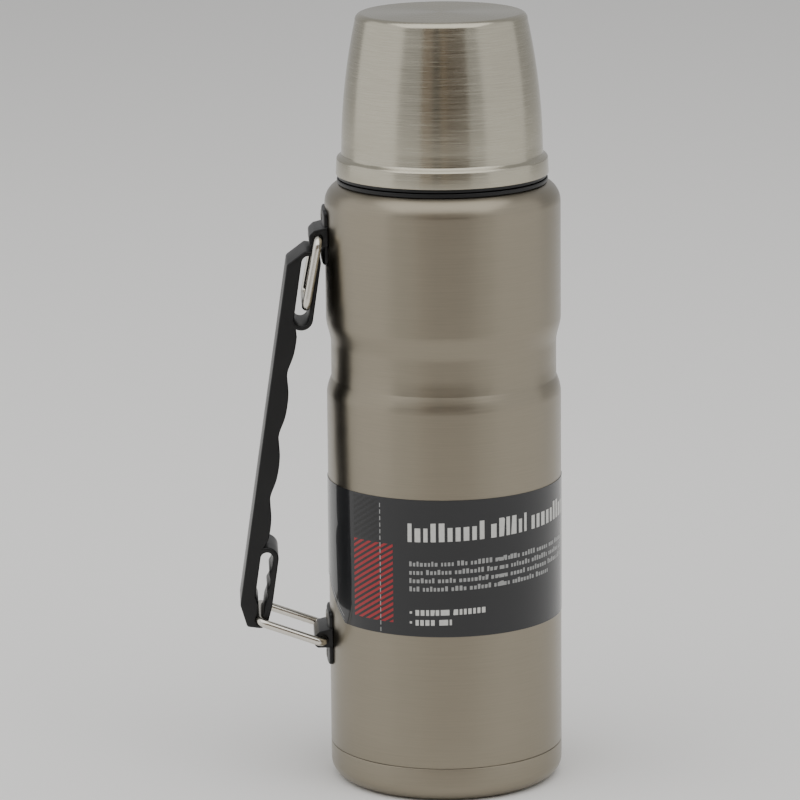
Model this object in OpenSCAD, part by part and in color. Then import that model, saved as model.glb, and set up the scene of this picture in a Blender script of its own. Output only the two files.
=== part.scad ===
// Double-walled steel vacuum flask with a screw-on drinking cup, a turn-to-pour stopper
// and a swing-out carrying handle held by two wire bails.
// The base stands at z = 0, the barrel runs up +Z, and the handle is on the -X side.

/* [Barrel] */
// Outside diameter of the barrel
body_d = 95; // [90:0.5:98]
// Sheet thickness of the outer shell
shell_t = 0.6; // [0.5:0.05:0.7]
// Height of the seam between the base cap and the shell
base_seam_z = 14.5; // [13:0.5:16]
// Radius of the rounded bottom edge
base_round = 7; // [5:0.5:8]
// Height of the shoulder's flat top
shoulder_z = 247; // [246.5:0.1:247.2]
// Radius of the shoulder's rounding
shoulder_round = 8.5; // [6:0.5:9]
// Height where the barrel starts to turn in to the waist
waist_z = 160; // [155:1:163]
// How far the waist lies inside the barrel
waist_depth = 1.9; // [0.5:0.1:2.2]

/* [Vacuum vessel] */
// Inside radius of the inner vessel
vessel_r = 42.2; // [40:0.1:42.4]
// Sheet thickness of the inner vessel
vessel_t = 0.5; // [0.4:0.05:0.6]
// Inside radius of the neck
neck_r = 25.3; // [25.3:0.05:25.5]
// Height of the mouth's lip
lip_z = 268; // [267.8:0.05:268]

/* [Label] */
// Lower edge of the printed label
label_z = 69.7; // [68:0.5:72]
// Height of the printed label
label_h = 56.2; // [40:1:60]
// Thickness of the label film
label_t = 0.25; // [0.1:0.05:0.3]

/* [Collar and cup] */
// Outside radius of the collar's flange
collar_r = 42.4; // [41:0.1:42.6]
// Crest radius of the collar's thread
collar_thread_r = 35.9; // [35.5:0.1:35.9]
// Outside radius of the cup's rim
cup_rim_r = 42.8; // [42.3:0.1:43]
// Height of the cup's steel rim bead
cup_bead_h = 7; // [6:0.5:8]
// Outside radius of the cup's wall just above the bead
cup_wall_r = 40.4; // [40.4:0.1:41]
// How much narrower the wall is at the top than just above the bead
cup_taper = 5.9; // [3:0.1:6.2]
// Height of the cup's flat top
cup_top_z = 314.8; // [312:0.2:318]
// Sheet thickness of the cup's steel shell
cup_t = 0.5; // [0.4:0.05:0.6]

/* [Stopper] */
// Outside radius of the stopper's flange
stopper_r = 30; // [28:0.5:30.5]
// Outside radius of the pouring knob
knob_r = 27; // [24:0.5:28]
// Height of the pouring knob's top
knob_top_z = 289; // [287:0.5:291]
// Number of finger flutes around the pouring knob
knob_flutes = 24; // [16:1:30]

/* [Handle] */
// Distance of the bail pivots from the flask's axis
pivot_r = 50.5; // [50.3:0.1:51]
// Height of the upper bail's pivot
upper_pivot_z = 225.5; // [225:0.1:226]
// Height of the lower bail's pivot
lower_pivot_z = 59.3; // [58.9:0.1:59.8]
// Wire diameter of the bails
wire_d = 3.4; // [3:0.1:3.4]
// Length of a bail from its pivot to its cross-bar
bail_len = 27.5; // [27.3:0.1:27.7]
// Distance between the centres of a bail's legs
bail_span = 30.4; // [30:0.1:32]
// Angle of the upper bail outwards from hanging straight down
upper_hang = 11; // [10.5:0.25:12]
// Angle of the lower bail above level
lower_lift = 20; // [19:0.5:21]
// Width of the carrying handle
handle_w = 24; // [20:0.5:24]
// Length of the handle from end to end
handle_len = 157.3; // [157.3:0.1:160]
// Distance of the handle's outer face from the middle of its slots
handle_face = 8.7; // [8:0.1:10]
// Width of the upper slot
slot_w = 5.9; // [5.6:0.1:6]
// Depth of the finger grooves
grip_wave = 0.9; // [0:0.1:1.2]

/* [Hidden] */
$fn = 96;

body_r = body_d / 2;
slip = 0.02;            // gap between nested pieces of one assembly
running = 0.05;         // radial gap of a pin in its bore
flare_down = 7.5;       // height of the waist's lower flare
flare_up_z = 21;        // from the waist's start to its upper flare
flare_up = 11;          // height of the upper flare
neck_shell_r = neck_r + vessel_t + 1.4;   // outside of the double-walled neck

base_ring_w = 5;        // width of the flat ring that the flask stands on
base_recess = 2.5;      // depth of the hollow inside that ring
plate_skirt_z = 10.5;   // the vacuum plate's skirt bridges the base seam
plate_top_z = 20;
plate_t = 0.6;
seal_r = 2;
seal_head_r = 3.4;
getter_x = 14;
getter_r = 4.2;
vessel_floor_z = 22.5;
vessel_seam_z = 34;
vessel_round = 8;
vessel_shoulder_z = 226;
vessel_shoulder_round = 10;
neck_fillet = 3;
lip_t = 0.55;           // thickness of the mouth's turned-out lip
foil_gap = 0.3;
foil_t = 0.15;

collar_top_z = 262;
collar_sleeve_r = 35;
collar_web_z = 260.4;
collar_z = shoulder_z + 0.05;
collar_flange_top = shoulder_z + 1.4;
collar_wall = 1.5;
collar_lip = 0.25;      // the flange's edge reaches this far down over the shoulder
thread_h = 1.4;
thread_pitch = 4;

ring_z = collar_flange_top + 0.3;         // lowest face of the cup
cup_rim_z = ring_z + 1.4;
ring_root_r = collar_thread_r + 1.3;
ring_crest_r = collar_thread_r + 0.25;
ring_sleeve_r = 39.5;
ring_bore_r = 31;
ring_shelf_z = collar_top_z + 1.9;
ring_top_z = ring_shelf_z + 1.5;
cup_wall_z = cup_rim_z + cup_bead_h + 2.7;
cup_shoulder_z = cup_top_z - 2.8;
cup_top_round = 3;
liner_t = 1.2;
liner_gap = 1.2;
liner_top_z = cup_top_z - 3.4;

gasket_h = 1.5;
flange_z = lip_z + 0.1 + gasket_h;        // underside of the stopper's flange
flange_h = 3.4;
stopper_body_r = 24;
stopper_wall = 1.5;
stopper_floor_z = 236;
stopper_base_z = 232;
stopper_pitch = 5;
guide_r = 8;
guide_wall = 1;
stem_r = 2.5;
flow_hole_r = 1.5;
flow_ring_r = 5.3;
plug_r = 7.4;
seat_r = 5;
stem_top_z = 281;
knob_z = flange_z + flange_h + 0.4;
knob_wall = 2;
knob_top_t = 2.4;
flute_r = 1.7;
notch_w = 10;           // width of a pouring notch
notch_h = 3;
disc_r = 15;
hub_r = 5;

wire_r = wire_d / 2;
bracket_h = 22.5;
bracket_w = 19;
bracket_r = body_r + 1.35;                // outer face of a bracket's plate
weld_plate_r = body_r + 0.6;
bracket_gap = 0.05;
knuckle_w = 21;
knuckle_root = body_r - 2;                // its back is cut to the barrel's curve
knuckle_h = 6.8;
knuckle_reach = pivot_r + 3.6;
pin_end_y = 5.5;                          // a bail's turned-in end stops here
bend_r = 3.5;
pivot_bend_r = 3;
rivet_pitch = 16;
rivet_r = 1.2;
rivet_head_r = 2.2;
rivet_head_h = 0.4;     // low enough to clear the handle's upper loop
weld_plate_w = 12;
weld_plate_h = 20;
weld_plate_gap = 0.2;

// The lower cross-bar sits in its snap seat, the handle's own origin.
// The upper cross-bar rests against the inner wall of the upper slot.
lower_cross = [pivot_r + bail_len * cos(lower_lift), lower_pivot_z + bail_len * sin(lower_lift)];
upper_cross = [pivot_r + bail_len * sin(upper_hang), upper_pivot_z - bail_len * cos(upper_hang)];
cross_gap = norm(upper_cross - lower_cross);
slot_drift = slot_w / 2 - wire_r - 0.1;
handle_tilt = atan2(lower_cross[0] - upper_cross[0], upper_cross[1] - lower_cross[1])
    - asin(slot_drift / cross_gap);
seat_end = 3.6;                           // from the lower seat to the handle's lower end
handle_top = handle_len - seat_end;
slot_wall = 2.2;
slot_bump = 0.8;
slot_top = handle_top - 4.8;              // centre of the upper slot's round top
slot_low = slot_top - 22.95;              // centre of its round bottom
low_slot_n = 0.5;
low_slot_r = 2.6;
low_slot_top = 25.7;
snap_w = 2.6;
grip_n = 1.6;                             // middle of the grip's inner face
grip_period = 26;

function arc(cx, cy, r, from, to, steps = 12) =
    [for (i = [0 : steps]) let (a = from + (to - from) * i / steps) [cx + r * cos(a), cy + r * sin(a)]];

// Outline of the barrel from the seam to the shoulder, moved in by d: the lower flare is a
// quarter cosine that ends in a crease, the upper one a half cosine.
function barrel_line(d) = concat(
    [[body_r - d, base_seam_z]],
    [for (i = [0 : 8]) [body_r - d - waist_depth * (1 - cos(90 * i / 8)), waist_z + flare_down * i / 8]],
    [for (i = [0 : 10]) [body_r - d - waist_depth * (1 + cos(180 * i / 10)) / 2,
        waist_z + flare_up_z + flare_up * i / 10]],
    arc(body_r - shoulder_round, shoulder_z - shoulder_round, shoulder_round - d, 0, 90));

// Outline of the inner vessel's wall and neck, moved in by d.
function vessel_line(d) = concat(
    [[vessel_r + vessel_t - d, vessel_seam_z]],
    arc(vessel_r + vessel_t - vessel_shoulder_round, vessel_shoulder_z, vessel_shoulder_round - d, 0, 90),
    arc(neck_r + vessel_t + neck_fillet, vessel_shoulder_z + vessel_shoulder_round + neck_fillet,
        neck_fillet + d, 270, 180, 6));

// Outside radius of the cup's wall, which curves in more and more towards the top.
function cup_r(z) = cup_wall_r - cup_taper * pow(max(0, z - cup_wall_z) / (cup_shoulder_z - cup_wall_z), 1.9);

// Outline of the cup's wall and rounded top, moved in by d, up to the axis.
function cup_line(z0, d, steps = 16) = concat(
    [for (i = [0 : steps]) let (z = z0 + (cup_shoulder_z - 0.4 - z0) * i / steps) [cup_r(z) - d, z]],
    arc(cup_r(cup_shoulder_z) - cup_top_round + 0.1, cup_top_z - cup_top_round,
        cup_top_round - min(d, 0.6), 12, 90, 6));

function reversed(points) = [for (i = [len(points) - 1 : -1 : 0]) points[i]];

module turned(points) {
    rotate_extrude() polygon(points);
}

module tube(inner_r, outer_r, z0, z1) {
    turned([[inner_r, z0], [outer_r, z0], [outer_r, z1], [inner_r, z1]]);
}

// A ridge with sloping sides that stands in for one turn of a thread.
module thread_ring(root_r, crest_r, z) {
    foot = crest_r > root_r ? -0.2 : 0.2;
    turned([[root_r + foot, z - thread_h / 2], [root_r, z - thread_h / 2], [crest_r, z - thread_h / 5],
        [crest_r, z + thread_h / 5], [root_r, z + thread_h / 2], [root_r + foot, z + thread_h / 2]]);
}

/* ---- barrel and vacuum vessel ---- */

module outer_shell() {
    color("#8C8577") turned(concat(
        barrel_line(0),
        [[neck_shell_r, shoulder_z], [neck_shell_r, lip_z - 0.6],
         [neck_shell_r - shell_t, lip_z - 0.6], [neck_shell_r - shell_t, shoulder_z - shell_t]],
        reversed(barrel_line(shell_t))));
}

module base_cap() {
    t = shell_t;
    ring_r = body_r - base_round - base_ring_w;
    color("#8C8577") turned(concat(
        [[0, base_recess], [ring_r - 2, base_recess], [ring_r, 0]],
        arc(body_r - base_round, base_round, base_round, 270, 360),
        [[body_r, base_seam_z], [body_r - t, base_seam_z]],
        arc(body_r - base_round, base_round, base_round - t, 360, 270),
        [[ring_r + 0.4, t], [ring_r - 1.6, base_recess + t], [0, base_recess + t]]));
}

module vacuum_base_plate() {
    r = body_r - shell_t - 0.06;
    low = plate_top_z - plate_t;
    color("#A3A3A0") difference() {
        turned([[0, low], [r - plate_t, low], [r - plate_t, plate_skirt_z], [r, plate_skirt_z],
            [r, plate_top_z], [0, plate_top_z]]);
        translate([0, 0, low - 1]) cylinder(r = seal_r, h = 4);
    }
}

module seal_plug() {
    head_top = plate_top_z - plate_t - 0.05;
    color("#5E7A66") turned([[0, head_top - 0.75], [seal_head_r, head_top - 0.75], [seal_head_r, head_top],
        [seal_r - slip, head_top], [seal_r - slip, plate_top_z], [0, plate_top_z]]);
}

module getter_capsule() {
    color("#55585C") translate([getter_x, 0, plate_top_z + slip]) tube(getter_r - 2, getter_r, 0, 1.4);
}

module inner_vessel() {
    color("#B4B3AE") turned(concat(
        vessel_line(0),
        [[neck_r + vessel_t, lip_z - lip_t], [neck_shell_r, lip_z - lip_t], [neck_shell_r, lip_z],
         [neck_r, lip_z]],
        reversed(vessel_line(vessel_t))));
}

module inner_vessel_base() {
    r = vessel_r + vessel_t;
    color("#B4B3AE") turned(concat(
        [[0, vessel_floor_z]],
        arc(r - vessel_round, vessel_floor_z + vessel_round, vessel_round, 270, 360),
        [[r, vessel_seam_z], [vessel_r, vessel_seam_z]],
        arc(r - vessel_round, vessel_floor_z + vessel_round, vessel_round - vessel_t, 360, 270),
        [[0, vessel_floor_z + vessel_t]]));
}

module radiation_foil() {
    r = vessel_r + vessel_t + foil_gap;
    color("#B87A4B") tube(r, r + foil_t, vessel_seam_z - 3, vessel_shoulder_z - 1);
}

// The film leaves a narrow seam behind the handle, and its lower corners are cut back
// around the lower bracket.
module label_wrap() {
    r = body_r + slip;
    color("#33353A") difference() {
        tube(r, r + label_t, label_z, label_z + label_h);
        translate([-body_r - 5, -1, label_z - 1]) cube([10, 2, label_h + 2]);
        translate([-body_r - 5, 0, label_z]) rotate([90, 0, 90]) linear_extrude(25)
            polygon([[-24, -1], [24, -1], [4, 15], [-4, 15]]);
    }
}

/* ---- collar ---- */

module threaded_collar() {
    color("#1C1C1C") {
        turned([[collar_sleeve_r - collar_wall, collar_z], [collar_r - 1, collar_z],
            [collar_r - 1, collar_z - collar_lip], [collar_r, collar_z - collar_lip],
            [collar_r, collar_flange_top], [collar_sleeve_r, collar_flange_top],
            [collar_sleeve_r, collar_top_z], [neck_shell_r + 0.15, collar_top_z],
            [neck_shell_r + 0.15, collar_web_z], [collar_sleeve_r - collar_wall, collar_web_z]]);
        for (turn = [0 : 2])
            thread_ring(collar_sleeve_r, collar_thread_r, collar_flange_top + 2.4 + thread_pitch * turn);
    }
}

/* ---- handle brackets ---- */

// A curved plate on the barrel's -X side: a ring cut to a width and a height about pivot height z.
module curved_plate(inner_r, outer_r, w, h, z) {
    intersection() {
        tube(inner_r, outer_r, z - h / 2, z + h / 2);
        translate([-outer_r - 1, -w / 2, z - h / 2 - 1]) cube([outer_r, w, h + 2]);
    }
}

module weld_plate(z) {
    color("#9A9A96") difference() {
        curved_plate(body_r + slip, weld_plate_r, weld_plate_w, weld_plate_h, z);
        rivet_holes(z);
    }
}

module rivet_holes(z) {
    for (side = [-1, 1]) translate([-body_r + 4, 0, z + side * rivet_pitch / 2])
        rotate([0, -90, 0]) cylinder(r = rivet_r + running, h = 8, $fn = 32);
}

// The plate hugs the barrel, and a knuckle at mid height holds the bail's two ends.
module bracket(z) {
    color("#1C1C1C") difference() {
        union() {
            curved_plate(body_r + bracket_gap, bracket_r, bracket_w, bracket_h, z);
            translate([0, 0, z]) rotate([90, 0, 0]) linear_extrude(knuckle_w, center = true)
                polygon([[-knuckle_root, -knuckle_h / 2], [-knuckle_reach + 1.2, -knuckle_h / 2],
                    [-knuckle_reach, -knuckle_h / 2 + 1.2], [-knuckle_reach, knuckle_h / 2 - 2],
                    [-knuckle_reach + 2, knuckle_h / 2], [-knuckle_root, knuckle_h / 2 + 1.4]]);
        }
        translate([0, 0, z - bracket_h]) cylinder(r = body_r + bracket_gap, h = 2 * bracket_h);
        curved_plate(body_r, weld_plate_r + slip, weld_plate_w + 2 * weld_plate_gap,
            weld_plate_h + 2 * weld_plate_gap, z);
        for (side = [-1, 1]) translate([-pivot_r, side * pin_end_y, z]) rotate([-side * 90, 0, 0])
            cylinder(r = wire_r + running, h = knuckle_w / 2, $fn = 48);
        rivet_holes(z);
    }
}

module rivets(z) {
    color("#A8A8A4") for (side = [-1, 1]) translate([0, 0, z + side * rivet_pitch / 2]) rotate([0, -90, 0]) {
        translate([0, 0, body_r + 0.1]) cylinder(r = rivet_r, h = 1.5, $fn = 32);
        translate([0, 0, bracket_r + slip]) cylinder(r = rivet_head_r, h = rivet_head_h, $fn = 32);
    }
}

/* ---- bails ---- */

module wire(from, to) {
    d = to - from;
    translate(from) rotate([0, 0, atan2(d[1], d[0])]) rotate([0, 90, 0])
        cylinder(r = wire_r, h = norm(d), $fn = 32);
}

// A quarter bend of the wire about [x, y], starting at the given angle.
module elbow(x, y, r, start) {
    translate([x, y, 0]) rotate([0, 0, start]) rotate_extrude(angle = 90)
        translate([r, 0]) circle(r = wire_r, $fn = 32);
}

// A bail lies level with its pivot on the Y axis and its cross-bar towards -X.
module bail() {
    half = bail_span / 2;
    color("#C9C7C2") {
        for (side = [0, 1]) mirror([0, side, 0]) {
            wire([0, pin_end_y + 0.3, 0], [0, half - pivot_bend_r, 0]);
            elbow(-pivot_bend_r, half - pivot_bend_r, pivot_bend_r, 0);
            wire([-pivot_bend_r, half, 0], [bend_r - bail_len, half, 0]);
            elbow(bend_r - bail_len, half - bend_r, bend_r, 90);
        }
        wire([-bail_len, bend_r - half, 0], [-bail_len, half - bend_r, 0]);
    }
}

module upper_bail() {
    translate([-pivot_r, 0, upper_pivot_z]) rotate([0, upper_hang - 90, 0]) bail();
}

module lower_bail() {
    translate([-pivot_r, 0, lower_pivot_z]) rotate([0, lower_lift, 0]) bail();
}

/* ---- carrying handle ---- */

// Inner face of the grip: a wave of finger grooves, each steeper on its lower side.
function grip_face(t) = let (a = 360 * (t - 103) / grip_period) grip_n + grip_wave * cos(a + 25 * sin(a));

// Inner wall of the lower slot, with a row of low bumps that hold the cross-bar.
function bumped_wall(t) = low_slot_n - low_slot_r + slot_bump * pow(cos(180 * (t - 12.5) / 7), 4);

// Outline of the handle: x is outwards from the middle of the slots, y along the handle.
// It runs round the lower seat, up the outer face, round both loops and down the grip.
module handle_outline() {
    low_loop_r = low_slot_r + slot_wall;
    difference() {
        polygon(concat(
            arc(0, 0, seat_end, 190, 270),
            [[handle_face - 4, -seat_end], [handle_face, 5], [handle_face, handle_top - 6.5],
             [handle_face - 6.5, handle_top]],
            arc(0, slot_top, handle_top - slot_top, 90, 180),
            arc(0, slot_low, handle_top - slot_top, 180, 290),
            [for (t = [slot_low - 7 : -2 : low_slot_top + 7]) [grip_face(t), t]],
            arc(low_slot_n, low_slot_top, low_loop_r, 65, 180),
            [[low_slot_n - low_loop_r, 6]]));
        polygon(concat(
            arc(0, slot_top, slot_w / 2, 0, 180, 24),
            arc(0, slot_low, slot_w / 2, 180, 360, 24)));
        polygon(concat(
            arc(low_slot_n, low_slot_top, low_slot_r, 0, 180, 24),
            [for (t = [low_slot_top - 2.7 : -0.75 : 9.5]) [bumped_wall(t), t]],
            [[-snap_w / 2, 6], [-snap_w / 2, 1], [snap_w / 2, 1], [snap_w / 2, 6],
             [low_slot_n + low_slot_r, 9.5]]));
        circle(r = wire_r + running);
    }
}

module handle_bar() {
    color("#1E1E1E") translate([-lower_cross[0], 0, lower_cross[1]]) rotate([0, handle_tilt, 0])
        mirror([1, 0, 0]) rotate([90, 0, 0]) linear_extrude(handle_w, center = true) handle_outline();
}

/* ---- stopper ---- */

module stopper_gasket() {
    color("#D9D7D0") tube(neck_r - 0.1, neck_r + 3.5, lip_z + 0.05, lip_z + 0.05 + gasket_h);
}

module stopper_housing() {
    flange_top = flange_z + flange_h;
    color("#242526") {
        difference() {
            tube(guide_r, stopper_r, flange_z, flange_top);
            translate([0, 0, flange_top - 1.2]) tube(knob_r - 4, knob_r - 1.5, 0, 2);
        }
        difference() {
            tube(0, guide_r + 1, flange_z + 1, flange_top);
            translate([0, 0, flange_z - 1]) cylinder(r = stem_r + running, h = 8);
            for (a = [0 : 60 : 300]) rotate([0, 0, a]) translate([flow_ring_r, 0, flange_z - 1])
                cylinder(r = flow_hole_r, h = 8, $fn = 24);
        }
        tube(stopper_body_r - stopper_wall, stopper_body_r, stopper_floor_z, flange_z + 0.5);
        tube(guide_r, guide_r + guide_wall, stopper_floor_z, flange_z + 0.5);
        for (turn = [0 : 3])
            thread_ring(stopper_body_r, neck_r - 0.25, stopper_floor_z + 10 + stopper_pitch * turn);
    }
}

module stopper_foam() {
    color("#E4DCC4") tube(guide_r + guide_wall + 0.3, stopper_body_r - stopper_wall - 0.3,
        stopper_floor_z + 0.1, flange_z - 1);
}

module stopper_base_cap() {
    color("#242526") turned([[seat_r, stopper_base_z], [stopper_body_r - 1.5, stopper_base_z],
        [stopper_body_r, stopper_base_z + 1.5], [stopper_body_r, stopper_floor_z], [seat_r, stopper_floor_z]]);
}

module valve_stem() {
    plug_z = stopper_floor_z + 1.5;
    color("#3A3C3E") turned([[0, stopper_floor_z - 1], [stem_r, stopper_floor_z - 1], [stem_r, plug_z],
        [plug_r, plug_z], [plug_r, plug_z + 2.4], [stem_r, plug_z + 4], [stem_r, stem_top_z], [0, stem_top_z]]);
}

module valve_seal() {
    color("#C8442F") tube(stem_r + running, plug_r, stopper_floor_z + 0.05, stopper_floor_z + 1.45);
}

// A fluted cap with a pouring notch on each side, and a hub that the valve stem slides in.
module pour_knob() {
    color("#2B2C2E") difference() {
        union() {
            turned([[knob_r - knob_wall, knob_z], [knob_r, knob_z], [knob_r, knob_top_z - 2],
                [knob_r - 2, knob_top_z], [0, knob_top_z], [0, knob_top_z - knob_top_t],
                [knob_r - knob_wall, knob_top_z - knob_top_t]]);
            tube(0, hub_r, knob_z, knob_top_z - 1);
        }
        translate([0, 0, knob_z - 1]) cylinder(r = stem_r + running, h = stem_top_z + 7 - knob_z);
        translate([0, 0, knob_top_z - 0.8]) cylinder(r = disc_r + 0.1, h = 2);
        for (i = [0 : knob_flutes - 1]) rotate([0, 0, 360 * i / knob_flutes])
            translate([knob_r + 1, 0, knob_z + 4]) cylinder(r = flute_r, h = 20, $fn = 24);
        for (side = [0, 180]) rotate([0, 0, side]) translate([knob_r - 5, -notch_w / 2, knob_z - 1])
            cube([10, notch_w, notch_h + 1]);
    }
}

module knob_cap() {
    color("#8E8F90") translate([0, 0, knob_top_z - 0.75]) cylinder(r = disc_r, h = 1.1);
}

/* ---- drinking cup ---- */

module cup_gasket() {
    color("#D9D7D0") tube(ring_bore_r, collar_sleeve_r, collar_top_z + 0.1, ring_shelf_z - 0.05);
}

module cup_thread_ring() {
    color("#1C1C1C") {
        turned([[ring_root_r, ring_z], [collar_r - 0.4, ring_z], [collar_r - 0.4, cup_rim_z - slip],
            [ring_sleeve_r, cup_rim_z - slip], [ring_sleeve_r, ring_top_z], [ring_bore_r, ring_top_z],
            [ring_bore_r, ring_shelf_z], [ring_root_r, ring_shelf_z]]);
        for (turn = [0 : 1]) thread_ring(ring_root_r, ring_crest_r, ring_z + 4.3 + thread_pitch * turn);
    }
}

// One face of the liner's wall: the cup's own curve moved in by d and cut off drop below its top.
function cup_side(d, drop = 0) = concat(
    [for (z = [ring_top_z + slip : 3.2 : liner_top_z - drop - 0.5]) [cup_r(z) - d, z]],
    [[cup_r(liner_top_z - drop) - d, liner_top_z - drop]]);

module cup_liner() {
    out = cup_t + liner_gap;
    color("#202122") turned(concat(
        cup_side(out), [[0, liner_top_z], [0, liner_top_z - liner_t]],
        reversed(cup_side(out + liner_t, liner_t))));
}

module cup_shell() {
    bead_top = cup_rim_z + cup_bead_h;
    color("#B0AB9D") turned(concat(
        [[cup_rim_r, cup_rim_z], [cup_rim_r - 0.4, bead_top - 0.6], [cup_rim_r - 1, bead_top + 0.3]],
        cup_line(cup_wall_z, 0),
        [[0, cup_top_z], [0, cup_top_z - cup_t]],
        reversed(cup_line(cup_wall_z, cup_t)),
        [[cup_rim_r - 1.4, bead_top - 0.1], [cup_rim_r - 0.4 - cup_t, bead_top - 0.9],
         [cup_rim_r - cup_t, cup_rim_z]]));
}

outer_shell();
base_cap();
vacuum_base_plate();
seal_plug();
getter_capsule();
inner_vessel();
inner_vessel_base();
radiation_foil();
threaded_collar();
label_wrap();
weld_plate(upper_pivot_z);  // upper_weld_plate
weld_plate(lower_pivot_z);  // lower_weld_plate
bracket(upper_pivot_z);  // upper_bracket
bracket(lower_pivot_z);  // lower_bracket
rivets(upper_pivot_z);  // upper_bracket_rivets
rivets(lower_pivot_z);  // lower_bracket_rivets
upper_bail();
lower_bail();
handle_bar();
stopper_gasket();
stopper_housing();
stopper_foam();
stopper_base_cap();
valve_stem();
valve_seal();
pour_knob();
knob_cap();
cup_gasket();
cup_shell();
cup_liner();
cup_thread_ring();
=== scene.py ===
import math

import bmesh
import bpy
import numpy as np
from mathutils import Matrix


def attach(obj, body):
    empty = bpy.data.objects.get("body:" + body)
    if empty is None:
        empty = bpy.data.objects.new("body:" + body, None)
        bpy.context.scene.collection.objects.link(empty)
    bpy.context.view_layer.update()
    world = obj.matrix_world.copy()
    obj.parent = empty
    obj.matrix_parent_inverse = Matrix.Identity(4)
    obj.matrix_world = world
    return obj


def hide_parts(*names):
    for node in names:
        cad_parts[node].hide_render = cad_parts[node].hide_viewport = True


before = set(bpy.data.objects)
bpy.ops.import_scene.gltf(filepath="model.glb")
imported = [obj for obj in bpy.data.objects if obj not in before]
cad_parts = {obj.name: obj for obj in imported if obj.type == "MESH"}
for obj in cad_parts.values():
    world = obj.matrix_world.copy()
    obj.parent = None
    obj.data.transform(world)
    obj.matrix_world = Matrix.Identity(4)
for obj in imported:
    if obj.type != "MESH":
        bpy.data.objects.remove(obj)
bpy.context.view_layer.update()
mm = 0.001
print("frame loaded with", len(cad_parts), "nodes")


# ---- outlines, all in millimetres ----

def arcPoints(x, y, radius, start, end, steps=10):
    # points on a circle about (x, y) from one angle in degrees to another
    angle = np.radians(np.linspace(start, end, steps + 1))
    return np.stack([x + radius * np.cos(angle), y + radius * np.sin(angle)], axis=1)


def filleted(corners, steps=6, closed=True):
    # each corner is (x, y, radius); a corner with a radius becomes an arc that touches both sides
    points = []
    count = len(corners)
    for i, (x, y, radius) in enumerate(corners):
        here = np.array([x, y], float)
        if radius <= 0 or (not closed and i in (0, count - 1)):
            points.append(here[None])
            continue
        toLast = np.array(corners[i - 1][:2], float) - here
        toNext = np.array(corners[(i + 1) % count][:2], float) - here
        toLast /= np.linalg.norm(toLast)
        toNext /= np.linalg.norm(toNext)
        half = math.acos(float(np.clip(toLast @ toNext, -1, 1))) / 2
        centre = here + (toLast + toNext) / np.linalg.norm(toLast + toNext) * radius / math.sin(half)
        first = here + toLast * radius / math.tan(half) - centre
        last = here + toNext * radius / math.tan(half) - centre
        share = np.linspace(0, 1, steps + 1)[:, None]
        turn = math.pi - 2 * half
        arc = (np.sin((1 - share) * turn) * first + np.sin(share * turn) * last) / math.sin(turn)
        points.append(centre + arc)
    return np.concatenate(points)


def refined(outline, spacing):
    # the same outline with no straight stretch longer than the spacing
    pieces = []
    for a, b in zip(outline[:-1], outline[1:]):
        steps = max(1, int(math.ceil(np.linalg.norm(b - a) / spacing)))
        pieces.append(a + (b - a) * np.arange(steps)[:, None] / steps)
    return np.concatenate(pieces + [outline[-1:]])


# ---- surfaces ----

def gridSurface(points, wrapU=False, wrapV=False):
    # a grid of points as four-sided faces, with a map that counts 0 to 1 along both ways
    countU, countV = points.shape[:2]
    i, j = np.meshgrid(np.arange(countU if wrapU else countU - 1),
                       np.arange(countV if wrapV else countV - 1), indexing="ij")
    i, j = i.ravel(), j.ravel()
    corners = [(i, j), (i + 1, j), (i + 1, j + 1), (i, j + 1)]
    faces = np.stack([(u % countU) * countV + v % countV for u, v in corners], axis=1)
    spreadU, spreadV = (countU if wrapU else countU - 1), (countV if wrapV else countV - 1)
    uv = np.stack([np.stack([u / spreadU, v / spreadV], axis=1) for u, v in corners], axis=1)
    return {"points": points.reshape(-1, 3), "faces": faces, "uv": uv, "caps": []}


def turned(outline, around=240, closed=True, bulge=None):
    # a profile carried round the axis: x = r cos a, y = r sin a; bulge(a, r, z) is added to r
    angle = np.linspace(0, 2 * np.pi, around, endpoint=False)[:, None]
    radius = np.broadcast_to(outline[:, 0], (around, len(outline)))
    height = np.broadcast_to(outline[:, 1], (around, len(outline)))
    if bulge is not None:
        radius = radius + bulge(angle, radius, height)
    points = np.stack([radius * np.cos(angle), radius * np.sin(angle), height], axis=-1)
    return gridSurface(points, wrapU=True, wrapV=closed)


def threadRidge(rootRadius, crestRadius, low, high, pitch):
    # a helix: the ridge is a clipped cosine of height less turns, and it fades in at both ends
    def bulge(angle, radius, height):
        wave = np.cos(2 * np.pi * (height / pitch - angle / (2 * np.pi)))
        fade = np.clip((height - low) / 1.2, 0, 1) * np.clip((high - height) / 1.2, 0, 1)
        onRoot = np.abs(radius - rootRadius) < 1e-6
        return onRoot * fade * np.clip(0.25 + wave * 1.1, 0, 1) * (crestRadius - rootRadius)
    return bulge


def tube(path, radius, sideways, sides=24):
    # a circle carried along a path that lies in the plane square to sideways
    along = np.gradient(path, axis=0)
    along /= np.linalg.norm(along, axis=1)[:, None]
    across = np.cross(along, sideways)
    across /= np.linalg.norm(across, axis=1)[:, None]
    angle = np.linspace(0, 2 * np.pi, sides, endpoint=False)[None, :, None]
    width = np.broadcast_to(radius, len(path))[:, None, None]
    ring = np.cos(angle) * across[:, None] + np.sin(angle) * np.asarray(sideways, float)
    return gridSurface(path[:, None] + ring * width, wrapV=True)


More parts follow.
